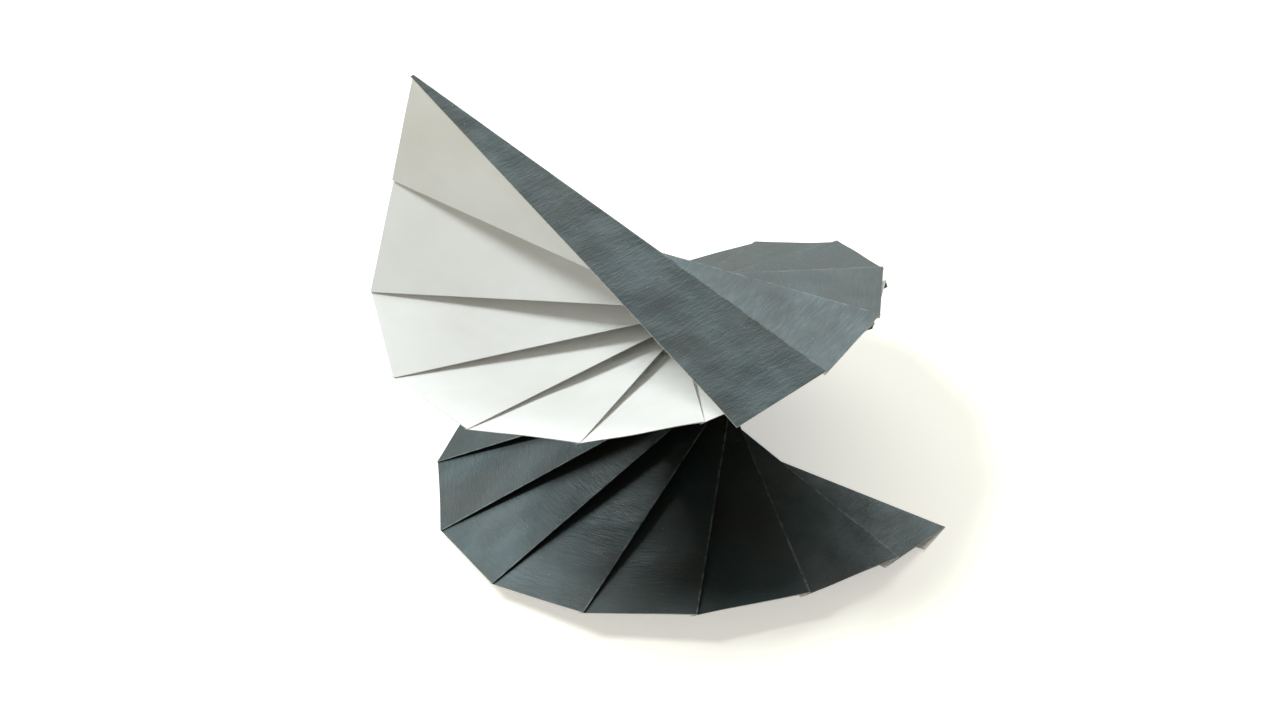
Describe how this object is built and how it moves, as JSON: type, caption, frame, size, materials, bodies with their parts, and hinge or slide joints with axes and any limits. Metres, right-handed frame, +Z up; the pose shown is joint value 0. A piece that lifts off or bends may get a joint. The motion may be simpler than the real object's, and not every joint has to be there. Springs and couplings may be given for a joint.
{
  "type": "origami spiral",
  "caption": "Origami spiral folded from one paper strip, black on one face and white on the other, in sixteen fan pleats round one turn.",
  "frame": {"origin": "under the middle of the outline, on the table that the spiral stands on", "axes": "+X to the right along the longest side, +Y away from the viewer, +Z up"},
  "size_m": [0.083, 0.0786, 0.0609],
  "materials": {
    "two_tone_paper": "satin black face, matt white face"
  },
  "bodies": {
    "root": {"folded_strip": "two_tone_paper"}
  },
  "joints": []
}
